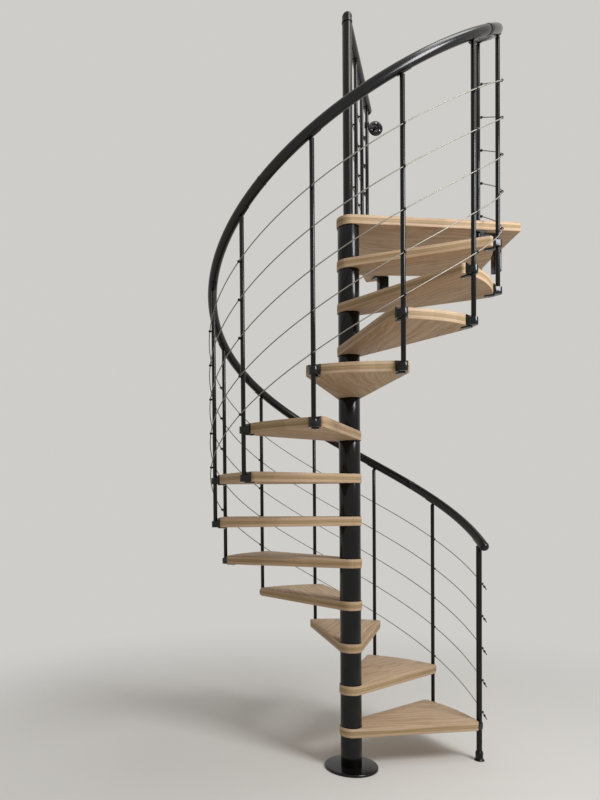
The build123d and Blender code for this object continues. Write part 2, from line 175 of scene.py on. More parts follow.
class BalustradeSizes(bpy.types.PropertyGroup):
    """Sizes of the uprights, the handrail and the cables"""

    circle: metres(
        "Circle", "Radius on which the uprights stand", (post_low.x + post_high.x) / 2
    )
    post_radius: metres("First post", "Radius of the first post", (post_high.x - post_low.x) / 2)
    baluster_radius: metres("Baluster", "Radius of a thin upright", 0.010)
    rail_radius: metres("Rail", "Radius of the handrail", 0.0225)
    rail_height: metres("Rail height", "Rail's centre over the first tread", 0.932)
    rail_start: degrees("Rail start", "Angle at which the handrail starts", -4.5)
    rail_end: degrees("Rail end", "Angle at which the handrail ends", 364.0)
    landing_rail_z: metres(
        "Landing rail", "Height of the straight rail's centre line",
        (landing_rail_low.z + landing_rail_high.z) / 2,
    )
    landing_angle: degrees("Landing side", "Direction of the straight rail", 63.0)
    landing_reach: metres("Landing reach", "Length of the straight rail", 0.777)
    saddle_height: metres("Saddle", "Gap from an upright's top to the rail", 0.016)
    cable_radius: metres("Cable", "Radius of a wire rope", 0.0025)
    cable_offset: metres("Cable offset", "Distance of the cables outside", 0.018)
    cable_drop: metres("Cable drop", "First cable under the rail", 0.2305)
    cable_spacing: metres("Cable spacing", "Height between two cables", 0.166)
    landing_drop: metres("Landing drop", "First straight cable under its rail", 0.183)
    cable_lay: metres("Lay", "Length in which the rope's strands turn once", 0.048)


class Finishes(bpy.types.PropertyGroup):
    """Colours of the finishes"""

    oak_light: painted("Oak, light", "Early wood of the outer layers", "#CCB293")
    oak_dark: painted("Oak, dark", "Late wood of the outer layers", "#A48668")
    core_light: painted("Core, light", "Early wood of the middle layer", "#B39A74")
    core_dark: painted("Core, dark", "Late wood of the middle layer", "#8C7150")
    oak_pore: painted("Oak, pores", "Open pores and glue lines", "#775A3E")
    coat: painted("Powder coat", "Column, uprights and brackets", "#0B0B0D")
    clamp: painted("Clamps", "Castings that hold the uprights", "#0B0B0E")
    sheath: painted("Rail", "Sheath of the handrail", "#0A090C")
    rope: painted("Rope", "Stainless wire rope", "#9B958C")
    screw: painted("Screws", "Bright screw heads", "#C4C2BE")


class StageSettings(bpy.types.PropertyGroup):
    """Floor, light and camera"""

    floor_colour: painted("Floor", "Colour of the floor", "#DCD9D4")
    backdrop_colour: painted("Backdrop", "Colour behind the stair", "#CFCDC9")
    horizon_light: painted("Horizon", "Colour of the light from the sides", "#BAB1A2")
    fill_strength: plain("Fill", "Strength of the light from above", 0.50)
    key_strength: plain("Key lamp", "Strength of the distant lamp from the right", 0.3)
    window_power: plain("Window lamp", "Power of the broad lamp beside the landing", 96.0)
    ceiling_power: plain("Ceiling lamp", "Power of the broad lamp overhead", 38.0)
    lens: plain("Lens", "Focal length", 28.86)


# modelling by hand: small steps that the pieces share


def rest():
    """Leaves edit mode with nothing selected."""
    if bpy.context.object and bpy.context.object.mode != "OBJECT":
        bpy.ops.object.mode_set(mode="OBJECT")
    bpy.ops.object.select_all(action="DESELECT")


def take(piece):
    """Makes a piece the only one selected."""
    rest()
    piece.select_set(True)
    bpy.context.view_layer.objects.active = piece


def edit(piece, kind="VERT"):
    """Opens a piece for editing with nothing selected in it."""
    take(piece)
    bpy.ops.object.mode_set(mode="EDIT")
    bpy.ops.mesh.select_mode(type=kind)
    bpy.ops.mesh.select_all(action="DESELECT")


def everything():
    """Selects all of the open piece."""
    bpy.ops.mesh.select_all(action="SELECT")


def pick(piece, kind, test):
    """Selects the vertices, edges or faces of an open piece that pass a test."""
    bpy.ops.mesh.select_mode(type=kind)
    bpy.ops.mesh.select_all(action="DESELECT")
    form = bmesh.from_edit_mesh(piece.data)
    for part in {"VERT": form.verts, "EDGE": form.edges, "FACE": form.faces}[kind]:
        if test(part):
            part.select_set(True)
    form.select_flush_mode()
    bmesh.update_edit_mesh(piece.data)


def raise_by(height):
    """Extrudes what is selected upwards."""
    bpy.ops.mesh.extrude_region_move(TRANSFORM_OT_translate={"value": (0, 0, height)})


def round_edges(piece, upright, width, beyond=-1.0):
    """Rounds the upright or else the level edges of an open piece, beyond a radius about Z."""
    pick(piece, "EDGE", lambda edge: edge.verts[0].co.xy.length > beyond
         and (abs(edge.verts[0].co.z - edge.verts[1].co.z) > 1e-5) == upright)
    bpy.ops.mesh.bevel(offset=width, segments=3, affect="EDGES")


def tidy(piece):
    """Merges doubled points of an open piece, turns its faces outwards and closes it."""
    everything()
    bpy.ops.mesh.remove_doubles(threshold=1e-6)
    bpy.ops.mesh.normals_make_consistent(inside=False)
    rest()
    piece.select_set(True)


def smooth(limit=SMOOTH):
    """Shades the selected piece smooth between its sharp edges."""
    bpy.ops.object.shade_smooth_by_angle(angle=limit)


def modify(piece, kind, **settings):
    """Puts a modifier on a piece and applies it at once."""
    take(piece)
    bpy.ops.object.modifier_add(type=kind)
    change = piece.modifiers[-1]
    for key, value in settings.items():
        setattr(change, key, value)
    bpy.ops.object.modifier_apply(modifier=change.name)
    return piece


def soften(piece, width, segments=2, limit=SMOOTH):
    """Rounds a piece's sharp edges and shades it smooth between them."""
    modify(piece, "BEVEL", width=width, segments=segments, limit_method="ANGLE",
           angle_limit=limit, use_clamp_overlap=True)
    smooth(limit)
    return piece


def line(name, start, moves):
    """A line drawn point by point.

    A move is a point, or (centre, angle, steps) for an arc in plan.
    """
    rest()
    bpy.ops.mesh.primitive_plane_add(size=0.01)
    piece = bpy.context.object
    piece.name = name
    bpy.ops.object.mode_set(mode="EDIT")
    bpy.ops.mesh.select_mode(type="VERT")
    everything()
    bpy.ops.mesh.merge(type="CENTER")
    place = Vector(start)
    bpy.ops.transform.translate(value=place)
    for move in moves:
        if len(move) == 3 and isinstance(move[0], tuple):
            centre, angle, steps = move
            axis = (0, 0, -1) if angle > 0 else (0, 0, 1)
            bpy.ops.mesh.spin(
                steps=steps, angle=abs(angle), center=(*centre, place.z), axis=axis
            )
            arm = place - Vector((*centre, place.z))
            arm.rotate(Euler((0, 0, angle)))
            place = Vector((*centre, place.z)) + arm
        else:
            step = Vector(move) - place
            bpy.ops.mesh.extrude_region_move(TRANSFORM_OT_translate={"value": step})
            place = Vector(move)
    everything()
    bpy.ops.mesh.remove_doubles(threshold=1e-6)
    everything()
    return piece


def board(name, start, moves, height, corners=(), corner_cut=0.0):
    """A board with the given outline in plan, raised by a height, with some corners cut round."""
    piece = line(name, start, moves)
    bpy.ops.mesh.edge_face_add()
    if corners:
        pick(piece, "VERT", lambda spot: any(
            (spot.co - corner).length < 1e-4 for corner in corners
        ))
        bpy.ops.mesh.bevel(offset=corner_cut, segments=6, affect="VERTICES")
    everything()
    raise_by(height)
    tidy(piece)
    return piece


def turned(name, profile, sides=32, rim=0.0, segments=2, limit=SMOOTH):
    """A piece turned on a lathe: its profile is drawn as (radius, height) and spun round Z."""
    points = [(radius, 0.0, height) for radius, height in profile]
    piece = line(name, points[0], points[1:])
    bpy.ops.mesh.spin(steps=sides, angle=2 * math.pi, center=(0, 0, 0), axis=(0, 0, -1))
    tidy(piece)
    return soften(piece, rim, segments, limit) if rim else piece


def bar(name, radius, length, rim, sides=20):
    """A round bar that stands on the origin, with rounded rims."""
    return turned(name, [(0, 0), (radius, 0), (radius, length), (0, length)], sides, rim)


def tube(name, inner, outer, low, high, sides, rim):
    """A tube about Z between two heights."""
    return turned(
        name, [(inner, low), (outer, low), (outer, high), (inner, high), (inner, low)], sides, rim
    )


def dome(radius, base):
    """The profile of a round end, from its rim at a height up to the crown."""
    turns = [step * math.pi / 20 for step in range(10)]
    arc = [(radius * math.cos(turn), base + radius * math.sin(turn)) for turn in turns]
    return [*arc, (0, base + radius)]


def put(piece, place):
    """Moves a piece by a matrix and keeps its object at the origin."""
    take(piece)
    piece.matrix_world = place @ piece.matrix_world
    bpy.ops.object.transform_apply(location=True, rotation=True, scale=True)
    return piece


def shift(piece, x, y, z):
    """Moves a piece without turning it."""
    return put(piece, Matrix.Translation((x, y, z)))


def copy_to(piece, name, place):
    """A copy of a piece with its own mesh, moved by a matrix."""
    take(piece)
    bpy.ops.object.duplicate(linked=False)
    twin = bpy.context.object
    twin.name = name
    return put(twin, place)


def clear(*pieces):
    """Removes patterns that have been copied, or tools that have been used."""
    for piece in pieces:
        take(piece)
        bpy.ops.object.delete()


def drilled(piece, radius, x, sides, low=-0.05, depth=0.2):
    """A piece with a round hole at (x, 0) for an upright, from a level upwards."""
    drill = shift(bar("drill", radius + CLEARANCE, depth, 0.0001, sides), x, 0, low)
    modify(piece, "BOOLEAN", operation="DIFFERENCE", solver="EXACT", object=drill)
    clear(drill)
    take(piece)
    smooth()
    return piece


def joined(name, pieces):
    """Joins pieces into one."""
    rest()
    for piece in pieces:
        piece.select_set(True)
    bpy.context.view_layer.objects.active = pieces[0]
    bpy.ops.object.join()
    piece = bpy.context.object
    piece.name = name
    return piece


def block(name, low, high):
    """A block between two corners."""
    rest()
    size = Vector(high) - Vector(low)
    bpy.ops.mesh.primitive_cube_add(size=1.0, location=(Vector(high) + Vector(low)) / 2)
    piece = bpy.context.object
    piece.name = name
    piece.scale = size
    bpy.ops.object.transform_apply(location=True, rotation=True, scale=True)
    return piece


def paint(piece, finish):
    """Gives a piece one finish, by its name."""
    piece.data.materials.clear()
    piece.data.materials.append(finish_named(finish))
    return piece


def hand_over(piece, slot, *nodes):
    """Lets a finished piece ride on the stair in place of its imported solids."""
    rest()
    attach(piece, "root")
    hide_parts(*nodes)


# where things stand


def about(angle, height=0.0):
    """Turn about the column, and lift."""
    return Matrix.Translation((0, 0, height)) @ Matrix.Rotation(angle, 4, "Z")


def pointing(place, direction, side=(0, 0, 1)):
    """A place whose Z runs along a direction and whose X stays as near as it can to a side."""
    z = Vector(direction).normalized()
    x = (Vector(side) - z * z.dot(Vector(side))).normalized()
    y = z.cross(x)
    turn = Matrix((x, y, z)).transposed().to_4x4()
    return Matrix.Translation(place) @ turn


def polar(radius, angle, height=0.0):
    """A point about the column."""
    return Vector((radius * math.cos(angle), radius * math.sin(angle), height))


def climb(angle):
    """Height that the flight gains over an angle."""
    flight = bpy.context.scene.stair_flight
    return flight.rise * angle / flight.step_angle


def rail_z(angle):
    """Height of the rail's centre line."""
    flight = bpy.context.scene.stair_flight
    return flight.rise + bpy.context.scene.stair_balustrade.rail_height + climb(angle)


def cable_z(number, angle):
    """Height of a cable of the flight."""
    sizes = bpy.context.scene.stair_balustrade
    return rail_z(angle) - sizes.cable_drop - sizes.cable_spacing * number


def underside(number):
    """Height of a tread's underside, by the tread's number."""
    flight = bpy.context.scene.stair_flight
    return flight.rise * number - flight.thickness


def upright_top(angle):
    """Height at which an upright of the flight ends."""
    sizes = bpy.context.scene.stair_balustrade
    return rail_z(angle) - sizes.rail_radius - sizes.saddle_height


def landing_upright_top():
    """Height at which the landing's uprights end."""
    sizes = bpy.context.scene.stair_balustrade
    return sizes.landing_rail_z - sizes.rail_radius - sizes.saddle_height


def on_circle(angle, height):
    """A place on the uprights' circle, with X pointing outwards."""
    circle = bpy.context.scene.stair_balustrade.circle
    return about(angle, height) @ Matrix.Translation((circle, 0, 0))


def on_climb(circle, angle, height, way=1.0):
    """A place on a climbing line, with Z along it and X pointing outwards."""
    run = Vector((-math.sin(angle), math.cos(angle), 0)) * circle
    uphill = (run + Vector((0, 0, climb(1.0)))).normalized()
    return pointing(polar(circle, angle, height), uphill * way, polar(1.0, angle))


def along(reach, aside, height):
    """A point along the landing's rail, with an offset to its outer side."""
    turn = bpy.context.scene.stair_balustrade.landing_angle
    return polar(reach, turn) + polar(aside, turn + math.pi / 2) + Vector((0, 0, height))


def cable_ends():
    """The circle of the flight's cables, and the angles at which they start and end."""
    sizes = bpy.context.scene.stair_balustrade
    circle = sizes.circle + sizes.cable_offset
    past = (sizes.post_radius + CABLE_REACH) / circle
    return circle, -past, 2 * math.pi + past


def landing_cable_ends():
    """Reach along the landing's rail at which its cables meet the mast, and where they end."""
    sizes = bpy.context.scene.stair_balustrade
    mast = bpy.context.scene.stair_column.mast_radius
    near = math.sqrt(mast ** 2 - sizes.cable_offset ** 2)
    return near, LANDING_REACHES[-1] + sizes.post_radius + CABLE_REACH


def landing_cable_z(number):
    """Height of a cable of the landing."""
    sizes = bpy.context.scene.stair_balustrade
    return sizes.landing_rail_z - sizes.landing_drop - sizes.cable_spacing * number


def on_landing_cable(number, reach):
    """A place on a cable of the landing, with Z along it."""
    sizes = bpy.context.scene.stair_balustrade
    spot = along(reach, sizes.cable_offset, landing_cable_z(number))
    return pointing(spot, polar(1.0, sizes.landing_angle))


# finishes


def new_finish(name):
    """An empty material and its shader, with the nodes' tree."""
    finish = bpy.data.materials.new(name)
    finish.use_nodes = True
    tree = finish.node_tree
    return finish, tree, tree.nodes["Principled BSDF"]


def node(tree, kind, **given):
    """Adds a node with its settings and links. An input goes by its name, or by i and its number.

    The value of an input is a socket, a node whose first output counts, or a plain value.
    """
    made = tree.nodes.new("ShaderNode" + kind)
    for key, value in given.items():
        if hasattr(made, key):
            setattr(made, key, value)
            continue
        socket = made.inputs[int(key[1:]) if key[1:].isdigit() else key.replace("_", " ")]
        if isinstance(value, bpy.types.Node):
            value = value.outputs[0]
        if isinstance(value, bpy.types.NodeSocket):
            tree.links.new(value, socket)
        else:
            socket.default_value = value
    return made


def oak():
    """Oak boards glued from three layers, sanded and lacquered matt.

    The eye sees long soft streaks along the board, strips a few centimetres wide whose tone
    differs a little, fine open pores, and a darker middle layer on the edges.
    """
    colours = bpy.context.scene.stair_finishes
    finish, tree, shader = new_finish(OAK)
    add = partial(node, tree)
    place = add("Attribute", attribute_name="grain").outputs["Vector"]
    parts = add("SeparateXYZ", Vector=place).outputs
    # the growth wanders by a few centimetres over the length of a board
    wander = add("TexNoise", Vector=place, Scale=2.4, Detail=1.0).outputs["Color"]
    bend = add("VectorMath", operation="MULTIPLY", i0=wander, i1=(0.0, 0.11, 0.11))
    bent = add("VectorMath", operation="ADD", i0=place, i1=bend)
    # broad faces: streaks 12 mm wide and half a metre long
    stretch = add("Mapping", Vector=bent, Scale=(2.0, 82.0, 82.0))
    # edges: lines 3 mm high that follow the edge, as layers do
    lines = add("Mapping", Vector=place, Scale=(3.5, 3.5, 330.0))
    facing = add("SeparateXYZ", Vector=add("NewGeometry").outputs["Normal"]).outputs
    upward = add("Math", operation="ABSOLUTE", i0=facing["Z"])
    broad = add("MapRange", Value=upward, From_Min=0.45, From_Max=0.85)
    way = add("Mix", data_type="VECTOR", i0=broad, i4=lines, i5=stretch).outputs[1]
    streaks = add("TexNoise", Vector=way, Scale=1.0, Detail=4.0, Roughness=0.6)
    # pores under 1 mm wide, drawn 2 mm wide to show
    fine = add("Mapping", Vector=bent, Scale=(16.0, 520.0, 520.0))
    pores = add("TexNoise", Vector=fine, Scale=1.0, Detail=3.0, Roughness=0.7)
    # strips 58 mm wide, each with a tone of its own
    strip = add("Math", operation="DIVIDE", i0=parts["Y"], i1=0.058)
    strip = add("Math", operation="FLOOR", i0=strip)
    tone = add("TexWhiteNoise", noise_dimensions="1D", W=strip)
    tint = add("Math", operation="MULTIPLY_ADD", i0=tone, i1=0.30, i2=-0.15)
    grain = add("MapRange", Value=streaks, From_Min=0.3, From_Max=0.7)
    shade = add("Math", operation="ADD", use_clamp=True, i0=grain, i1=tint)
    # three layers of 15 mm, the middle one darker, with a thin glue line on each side of it
    level = add("Math", operation="DIVIDE", i0=parts["Z"], i1=0.045)
    level = add("Math", operation="FRACT", i0=level)
    off = add("Math", operation="SUBTRACT", i0=level, i1=0.5)
    off = add("Math", operation="ABSOLUTE", i0=off)
    core = add("MapRange", Value=off, From_Min=0.150, From_Max=0.185, To_Min=1.0, To_Max=0.0)
    glue = add("Math", operation="COMPARE", i0=off, i1=0.167, i2=0.020)
    outer = add("Mix", data_type="RGBA", i0=shade, i6=colours.oak_light, i7=colours.oak_dark)
    inner = add("Mix", data_type="RGBA", i0=shade, i6=colours.core_light, i7=colours.core_dark)
    body = add("Mix", data_type="RGBA", i0=core, i6=outer.outputs[2], i7=inner.outputs[2])
    open_pores = add("MapRange", Value=pores, From_Min=0.54, From_Max=0.72,
                     To_Min=0.0, To_Max=0.36)
    dark = add("Math", operation="MULTIPLY", i0=open_pores, i1=broad)
    dark = add("Math", operation="MULTIPLY_ADD", use_clamp=True, i0=glue, i1=0.45, i2=dark)
    colour = add("Mix", data_type="RGBA", i0=dark, i6=body.outputs[2], i7=colours.oak_pore)
    gloss = add("MapRange", Value=streaks, From_Min=0.3, From_Max=0.7, To_Min=0.52, To_Max=0.66)
    relief = add("Bump", Strength=0.12, Distance=0.0004, Height=pores)
    tree.links.new(colour.outputs[2], shader.inputs["Base Color"])
    tree.links.new(gloss.outputs[0], shader.inputs["Roughness"])
    tree.links.new(relief.outputs[0], shader.inputs["Normal"])
    shader.inputs["Specular IOR Level"].default_value = 0.32
    return finish


def mottle(tree, shader, marks, colour, tones, glosses):
    """Lets a pattern of marks move a metal's brightness and its gloss a little."""
    tone, gloss = (
        node(tree, "MapRange", Value=marks, From_Min=0.3, From_Max=0.7, To_Min=low, To_Max=high)
        for low, high in (tones, glosses)
    )
    shade = node(tree, "HueSaturation", Color=colour, Value=tone)
    tree.links.new(shade.outputs[0], shader.inputs["Base Color"])
    tree.links.new(gloss.outputs[0], shader.inputs["Roughness"])


def coated(name, colour, roughness, speck, gloss_level):
    """Powder coat on steel: an even dark film with a slight orange peel, millimetres across."""
    finish, tree, shader = new_finish(name)
    place = node(tree, "TexCoord").outputs["Object"]
    peel = node(tree, "TexNoise", Vector=place, Scale=speck, Detail=2.0, Roughness=0.55)
    cloud = node(tree, "TexNoise", Vector=place, Scale=9.0, Detail=3.0, Roughness=0.6)
    mottle(tree, shader, cloud, colour, (0.88, 1.14), (roughness - 0.04, roughness + 0.05))
    relief = node(tree, "Bump", Strength=0.006, Distance=0.0002, Height=peel)
    tree.links.new(relief.outputs[0], shader.inputs["Normal"])
    shader.inputs["Specular IOR Level"].default_value = gloss_level
    return finish


def steel(name, colour, roughness):
    """Stainless steel, drawn or turned: bright with fine scratches."""
    finish, tree, shader = new_finish(name)
    place = node(tree, "TexCoord").outputs["Object"]
    marks = node(tree, "TexNoise", Vector=place, Scale=650.0, Detail=2.0)
    mottle(tree, shader, marks, colour, (0.86, 1.08), (roughness - 0.05, roughness + 0.08))
    shader.inputs["Metallic"].default_value = 1.0
    return finish


def finish_named(name):
    """A finish, made the first time that a piece asks for it."""
    if name in bpy.data.materials:
        return bpy.data.materials[name]
    colours = bpy.context.scene.stair_finishes
    if name == OAK:
        return oak()
    if name == COAT:
        return coated(name, colours.coat, 0.18, 420.0, 0.30)
    if name == CAST:
        return coated(name, colours.clamp, 0.17, 520.0, 0.38)
    if name == SHEATH:
        return coated(name, colours.sheath, 0.21, 300.0, 0.42)
    if name == ROPE:
        return steel(name, colours.rope, 0.60)
    return steel(name, colours.screw, 0.26)


def lay_grain(piece, move):
    """Keeps the board's own coordinates, moved along, so that each board differs."""
    rest()
    layer = piece.data.attributes.new("grain", "FLOAT_VECTOR", "POINT")
    for spot, corner in zip(layer.data, piece.data.vertices):
        spot.vector = corner.co + Vector(move)


def looking(tree):
    """1 where the stage is looked at, straight or in gloss, and 0 where it gives light."""
    ray = node(tree, "LightPath").outputs
    seen = node(tree, "Math", operation="MAXIMUM",
                i0=ray["Is Camera Ray"], i1=ray["Is Glossy Ray"])
    return node(tree, "Math", operation="MAXIMUM", i0=seen, i1=ray["Is Transmission Ray"])


# small parts that several pieces carry


def screw_head(name, radius, height):
    """A pan head with a socket for a hexagon key, pointing up Z."""
    profile = [
        (0, 0), (radius, 0), (radius, 0.5 * height), (0.8 * radius, height),
        (0.46 * radius, height), (0.42 * radius, 0.5 * height), (0, 0.5 * height),
    ]
    return paint(turned(name, profile, 12, 0.08 * radius, segments=1), SCREW)


def close_ends(piece):
    """Closes the open ends of a piece that was drawn out."""
    edit(piece, "EDGE")
    everything()
    bpy.ops.mesh.fill_holes(sides=0)
    tidy(piece)


def rope(name, length):
    """A straight wire rope along Z: six strands laid round each other."""
    sizes = bpy.context.scene.stair_balustrade
    rest()
    bpy.ops.mesh.primitive_circle_add(vertices=12, radius=sizes.cable_radius)
    piece = bpy.context.object
    piece.name = name
    bpy.ops.object.mode_set(mode="EDIT")
    pick(piece, "VERT", lambda corner: corner.index % 2)
    bpy.ops.transform.resize(value=(0.82, 0.82, 1.0))
    turns = max(1, round(length / sizes.cable_lay))
    modify(piece, "SCREW", angle=2 * math.pi, screw_offset=length / turns, iterations=turns,
           steps=12, render_steps=12, use_merge_vertices=False)
    close_ends(piece)
    smooth(math.radians(75))
    return paint(piece, ROPE)


def draw_round(piece, angle, steps):
    """Draws a piece out round the column, as steep as the flight."""
    modify(piece, "SCREW", angle=angle, screw_offset=climb(angle), steps=steps,
           render_steps=steps)


def swept(name, radius, start, finish):
    """A round bar on the handrail's line between two angles."""
    circle = bpy.context.scene.stair_balustrade.circle
    slope = math.atan2(climb(1.0), circle)
    rest()
    bpy.ops.mesh.primitive_circle_add(
        vertices=32, radius=radius, location=(circle, 0, rail_z(0)),
        rotation=(slope - math.pi / 2, 0, 0),
    )
    piece = bpy.context.object
    piece.name = name
    bpy.ops.object.transform_apply(location=True, rotation=True, scale=True)
    put(piece, about(start, climb(start)))
    draw_round(piece, finish - start, max(1, round((finish - start) / math.radians(2.4))))
    close_ends(piece)
    return piece


def saddle(name, radius):
    """The top of an upright: a collar, a cone, and a knuckle with a screw, on the origin."""
    profile = [
        (0, 0), (radius + 0.0006, 0), (radius + 0.0006, 0.0030), (radius - 0.0012, 0.0045),
        (0.0046, 0.0085), (0.0042, 0.018), (0, 0.018),
    ]
    tip = paint(turned(name, profile, 20, 0.0005), COAT)
    knuckle = paint(bar("knuckle", 0.0050, 0.011, 0.001, 16), CAST)
    put(knuckle, pointing((-0.0055, 0, 0.0165), (1, 0, 0)))
    head = screw_head("head", 0.0036, 0.0016)
    put(head, pointing((0.0053, 0, 0.0165), (1, 0, 0)))
    return joined(name, [tip, knuckle, head])


def rail_seat(name, rail_radius):
    """The thin shell under the rail that an upright carries, along Z, on the side of +Y."""
    half = 0.030
    arc = math.radians(38.0)
    inner = rail_radius + 0.0002
    outer = rail_radius + 0.0026
    start = (inner * math.sin(arc), inner * math.cos(arc), -half)
    far = (-outer * math.sin(arc), outer * math.cos(arc), -half)
    shell = [(AXIS, 2 * arc, 8), far, (AXIS, -2 * arc, 8), start]
    return paint(soften(board(name, start, shell, 2 * half), 0.0007), CAST)


class STAIR_OT_treads(bpy.types.Operator):
    """Models one wedge tread and lays twelve of them round the column"""

    bl_idname = "stair.treads"
    bl_label = "Treads"

    def execute(self, context):
        sizes = context.scene.stair_flight
        fan = sizes.step_angle + 2 * sizes.overlap
        front = polar(sizes.outer_radius, -sizes.overlap)
        rear = polar(sizes.outer_radius, sizes.step_angle + sizes.overlap)
        # the straight sides touch the round inner end at this angle from their corners
        swing = math.acos(sizes.hub_radius / sizes.outer_radius)
        wedge = board(
            "wedge", polar(sizes.hub_radius, -sizes.overlap - swing),
            [front, (AXIS, fan, 20),
             polar(sizes.hub_radius, sizes.step_angle + sizes.overlap + swing),
             (AXIS, 2 * math.pi - (fan + 2 * swing), 24)],
            sizes.thickness, (front, rear), sizes.corner_cut,
        )
        edit(wedge)
        round_edges(wedge, False, sizes.rounding)
        tidy(wedge)
        drilled(wedge, context.scene.stair_column.mast_radius, 0, 32)
        paint(wedge, OAK)
        for number in range(1, TREADS + 1):
            tread = copy_to(wedge, "oak_tread_%02d" % number, Matrix())
            lay_grain(tread, (0.83 * number, 0.021 + 1.37 * number, 0.45 * number))
            put(tread, about(sizes.step_angle * (number - 1), underside(number)))
            hand_over(tread, "wood", "tread_%02d" % number)
        clear(wedge)
        return {"FINISHED"}


class STAIR_OT_landing(bpy.types.Operator):
    """Models the landing with its round inner end and the tongue at its back"""

    bl_idname = "stair.landing"
    bl_label = "Landing"

    def execute(self, context):
        sizes = context.scene.stair_flight
        uprights = context.scene.stair_balustrade
        hub = sizes.hub_radius
        front = Vector((*sizes.front_corner, 0.0))
        lean = (sizes.back - front.y) / math.tan(sizes.right_lean)
        back_right = Vector((front.x + lean, sizes.back, 0.0))
        tongue = [Vector((*spot, 0.0)) for spot in TONGUE]
        # the front edge and the tongue's left side touch the round inner end
        front_touch = polar(hub, math.atan2(front.y, front.x) - math.acos(hub / front.length))
        left_turn = math.atan2(tongue[0].y, tongue[0].x) + math.acos(hub / tongue[0].length)
        round_end = math.atan2(front_touch.y, front_touch.x) + 2 * math.pi - left_turn
        slab = board(
            "oak_landing", front_touch,
            [front, back_right, *reversed(tongue), polar(hub, left_turn), (AXIS, round_end, 24)],
            sizes.thickness,
        )
        edit(slab)
        # the round inner end keeps its own curve
        round_edges(slab, True, 0.004, beyond=hub + 0.0135)
        round_edges(slab, False, sizes.rounding)
        tidy(slab)
        drilled(slab, context.scene.stair_column.mast_radius, 0, 32)
        drilled(slab, uprights.baluster_radius, uprights.circle, 20)
        lay_grain(slab, (3.1, 0.4, 0.0))
        shift(slab, 0, 0, landing_high.z - sizes.thickness)
        hand_over(paint(slab, OAK), "wood", "landing")
        return {"FINISHED"}


class STAIR_OT_column(bpy.types.Operator):
    """Models the base, the sleeves, the thin rings, the mast and its cap"""

    bl_idname = "stair.column"
    bl_label = "Column"

    def execute(self, context):
        sizes = context.scene.stair_column
        rise = context.scene.stair_flight.rise
        radius = sizes.mast_radius
        bore = radius + CLEARANCE
        rim = sizes.base_radius - 0.0025
        base = turned(
            "base_plate",
            [(0, 0), (sizes.base_radius - 0.0035, 0), (rim, 0.001),
             (rim, sizes.base_height - 0.0035),
             (sizes.base_radius - 0.0060, sizes.base_height), (0, sizes.base_height)],
            72, 0.0014, segments=3, limit=math.radians(15),
        )
        hand_over(paint(base, COAT), "black_steel", "base_disc")

        # a sleeve between two boards, a ring under each board and a ring on each tread
        sleeves = []
        rings = []
        for number in range(1, TREADS + 2):
            low = rise * (number - 1) + sizes.ring_height if number > 1 else sizes.base_height
            high = underside(number) - sizes.ring_height
            sleeves.append(tube("sleeve", bore, sizes.spacer_radius, low, high, 64, 0.0008))
            levels = (high, rise * number) if number <= TREADS else (high,)
            for low in levels:
                up = low + sizes.ring_height
                rings.append(tube("ring", bore, sizes.ring_radius, low, up, 64, 0.0007))
        floor = landing_high.z
        rings.append(turned(
            "ring",
            [(bore, floor), (radius + 0.007, floor), (radius + 0.007, floor + 0.007),
             (radius + 0.0035, floor + 0.010), (bore, floor + 0.010), (bore, floor)],
            48, 0.0007,
        ))
        hand_over(paint(joined("column_sleeves", sleeves), COAT), "black_steel", "column_spacers")
        hand_over(paint(joined("column_thin_rings", rings), COAT), "black_steel", "column_rings")

        mast = bar("mast", radius, sizes.mast_top - sizes.base_height, 0.0006, 48)
        paint(shift(mast, 0, 0, sizes.base_height), COAT)
        # the cap's long skirt ends in a collar beside the landing's rail
        skirt_end = sizes.mast_top - 0.0285
        skirt = radius + 0.0012
        inner = radius - 0.001
        collar = turned(
            "collar",
            [(inner, 0), (skirt + 0.0008, 0), (skirt + 0.0008, 0.0045), (skirt, 0.0060),
             (skirt, 0.0105), (inner, 0.0125), (inner, 0)],
            48, 0.0004,
        )
        paint(shift(collar, 0, 0, skirt_end), CAST)
        hand_over(joined("centre_mast", [mast, collar]), "black_steel", "mast")

        cap = turned(
            "mast_dome",
            [(0, 0), (radius + 0.0006, 0), (radius + 0.0006, 0.0015), *dome(radius, 0.0015)],
            40, 0.0003, limit=math.radians(40),
        )
        shift(cap, 0, 0, sizes.mast_top)
        hand_over(paint(cap, CAST), "black_steel", "mast_cap")
        return {"FINISHED"}


